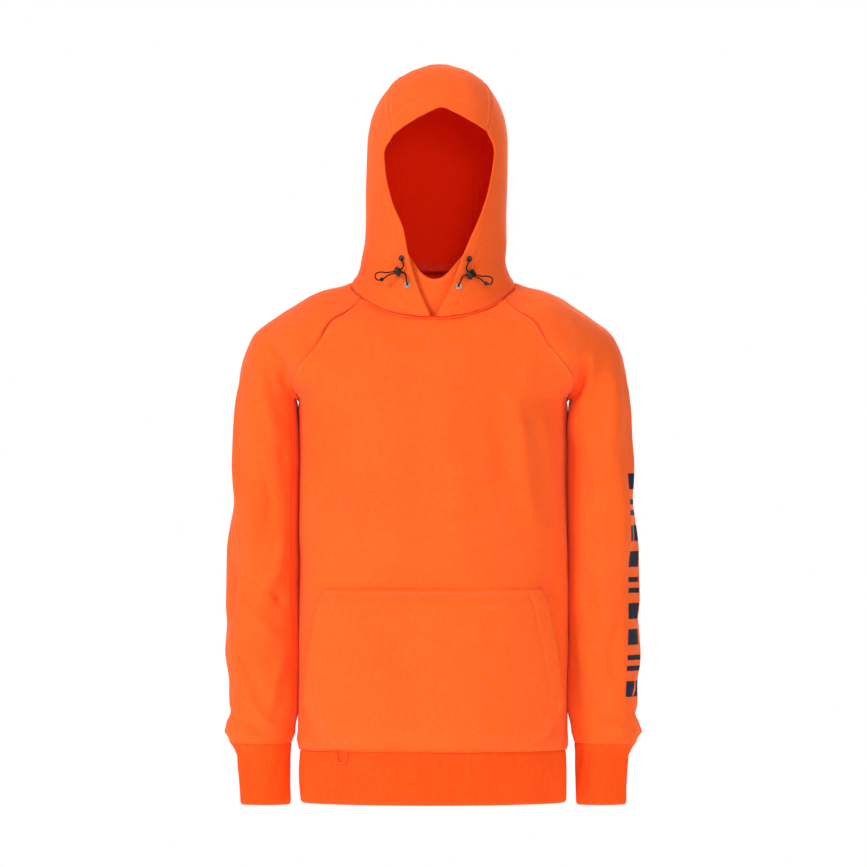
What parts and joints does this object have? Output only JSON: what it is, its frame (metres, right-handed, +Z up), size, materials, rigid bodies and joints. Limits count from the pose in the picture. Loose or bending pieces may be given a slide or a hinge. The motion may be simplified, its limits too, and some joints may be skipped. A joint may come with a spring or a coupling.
{
  "type": "hooded sweatshirt with hand warmer muff pocket",
  "caption": "Hooded pullover sweatshirt with raglan sleeves, rib cuffs and hem, a hand warmer muff pocket on the front and a face drawcord with cord locks.",
  "frame": {"origin": "middle of the neck opening, level with the high point of the shoulders", "axes": "+Z up, the wearer faces -Y, the wearer's left is +X"},
  "size_m": [0.5724, 0.2724, 1.0349],
  "materials": {
    "fleece": "brushed",
    "rib_knit": "ribbed",
    "lining": "brushed",
    "tape": "woven",
    "orange_cord": "braided",
    "black_cord": "braided",
    "black_plastic": "satin",
    "black_metal": "satin",
    "silver_metal": "satin",
    "steel": "satin"
  },
  "bodies": {
    "garment": {"front_body_panel": "fleece", "back_body_panel": "fleece", "hem_rib_band": "rib_knit", "hand_warmer_muff_pocket": "fleece", "left_sleeve_shoulder": "fleece", "right_sleeve_shoulder": "fleece", "hood_centre_panel_foot": "fleece", "left_hood_panel_foot": "fleece", "right_hood_panel_foot": "fleece", "inner_neck_collar": "lining", "neck_tape": "tape", "hanger_loop": "tape", "utility_loop": "orange_cord", "left_upper_eyelet": "black_metal", "left_lower_eyelet": "silver_metal", "right_upper_eyelet": "black_metal", "right_lower_eyelet": "silver_metal", "left_drawcord": "black_cord", "right_drawcord": "black_cord", "left_cord_bead": "black_plastic", "right_cord_bead": "black_plastic"},
    "left_arm": {"left_sleeve": "fleece", "left_cuff": "rib_knit"},
    "right_arm": {"right_sleeve": "fleece", "right_cuff": "rib_knit"},
    "hood": {"hood_centre_panel": "fleece", "left_hood_panel": "fleece", "right_hood_panel": "fleece"},
    "left_lock": {"left_lock_barrel": "black_plastic", "left_lock_spring": "steel"},
    "left_plunger": {"left_lock_plunger": "black_plastic"},
    "right_lock": {"right_lock_barrel": "black_plastic", "right_lock_spring": "steel"},
    "right_plunger": {"right_lock_plunger": "black_plastic"}
  },
  "joints": [
    {"name": "left_arm_raise", "type": "hinge", "parent": "garment", "child": "left_arm", "pos_m": [0.258, 0, -0.0698], "axis": [0, -1, 0], "range_deg": [0, 60]},
    {"name": "right_arm_raise", "type": "hinge", "parent": "garment", "child": "right_arm", "pos_m": [-0.258, 0, -0.0698], "axis": [0, 1, 0], "range_deg": [0, 60]},
    {"name": "hood_tilt_back", "type": "hinge", "parent": "garment", "child": "hood", "pos_m": [0, 0.097, 0.025], "axis": [-1, 0, 0], "range_deg": [0, 45]},
    {"name": "left_lock_slide", "type": "slide", "parent": "garment", "child": "left_lock", "axis": [0.919, -0.2476, -0.3068], "range_m": [0, 0.008]},
    {"name": "left_lock_press", "type": "slide", "parent": "left_lock", "child": "left_plunger", "axis": [0.301, 0.9432, 0.1405], "range_m": [0, 0.0025], "stiffness_N_per_m": 800, "springref_m": -0.006, "deforming": ["left_lock_spring"]},
    {"name": "right_lock_slide", "type": "slide", "parent": "garment", "child": "right_lock", "axis": [-0.9697, 0.0582, -0.2373], "range_m": [0, 0.008]},
    {"name": "right_lock_press", "type": "slide", "parent": "right_lock", "child": "right_plunger", "axis": [0.0599, 0.9982, 0], "range_m": [0, 0.0025], "stiffness_N_per_m": 800, "springref_m": -0.006, "deforming": ["right_lock_spring"]}
  ]
}
